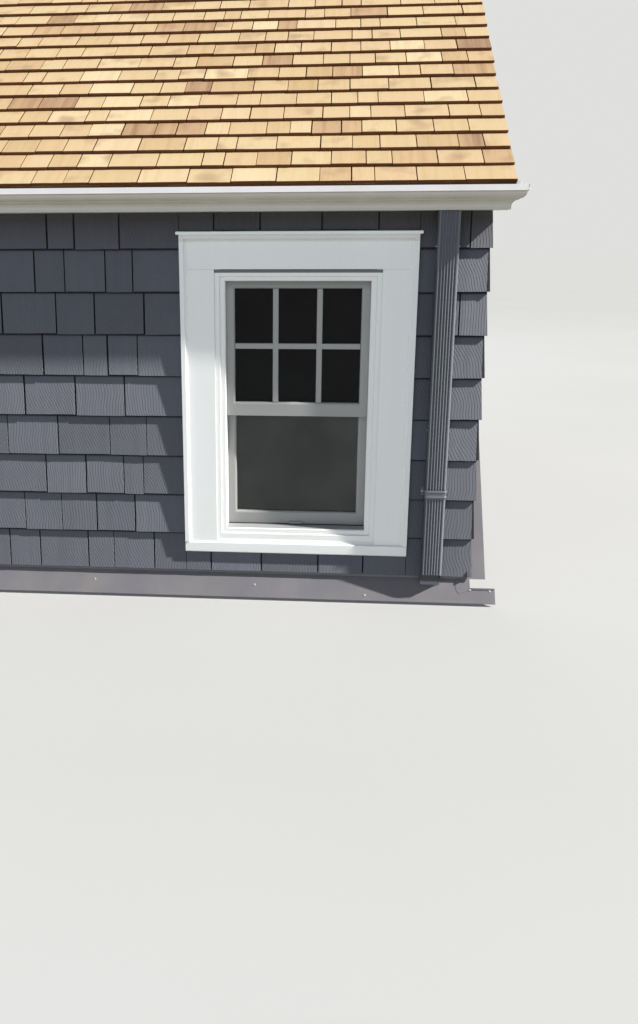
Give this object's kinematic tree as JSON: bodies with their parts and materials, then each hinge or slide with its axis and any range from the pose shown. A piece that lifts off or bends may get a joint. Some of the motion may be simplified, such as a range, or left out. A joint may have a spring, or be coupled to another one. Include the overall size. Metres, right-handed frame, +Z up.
{
  "type": "dormer window",
  "caption": "Shed dormer with a cedar-shingled roof, painted shingle walls, white-cased double-hung windows, gutter and fluted downspouts.",
  "frame": {"origin": "on the roof slope that the dormer stands on, below the outer face of the front sheathing, halfway along the front", "axes": "+Z up, +X along the front to the right of someone facing it, +Y into the building"},
  "size_m": [3.882, 2.9001, 3.6068],
  "materials": {
    "framing": "matt sawn softwood",
    "sheathing": "matt boards",
    "painted_shingles": "matt charcoal paint on wood",
    "cedar_shingles": "bare new cedar",
    "white_trim": "satin white paint",
    "window_frame": "satin white paint",
    "sash": "satin grey paint",
    "glazing": "clear",
    "gutter_metal": "satin white coating",
    "spout_metal": "satin grey coating",
    "flashing_metal": "matt grey coating",
    "lock_metal": "satin"
  },
  "bodies": {
    "root": {"front_sole": "framing", "cheek_soles": "framing", "front_studs": "framing", "window_headers": "framing", "front_top_plate": "framing", "cheek_studs": "framing", "cheek_top_plates": "framing", "rafters": "framing", "back_ledger": "framing", "front_sheathing": "sheathing", "cheek_sheathing": "sheathing", "roof_deck": "sheathing", "front_shingles": "painted_shingles", "right_cheek_shingles": "painted_shingles", "left_cheek_shingles": "painted_shingles", "roof_shingles": "cedar_shingles", "starter_course": "cedar_shingles", "fascia": "white_trim", "rake_boards": "white_trim", "gutter": "gutter_metal", "gutter_ends": "gutter_metal", "downspouts": "spout_metal", "downspout_fronts": "spout_metal", "downspout_lips": "spout_metal", "downspout_straps": "spout_metal", "drop_outlets": "gutter_metal", "apron_flashing": "flashing_metal", "step_flashing": "flashing_metal", "top_flashing": "flashing_metal", "window_frames": "window_frame", "window_casings": "white_trim", "back_bands": "white_trim", "head_caps": "white_trim", "window_sills": "white_trim", "upper_sashes": "sash", "lower_sashes": "sash", "upper_glass": "glazing", "lower_glass": "glazing", "sash_locks": "lock_metal"}
  },
  "joints": []
}
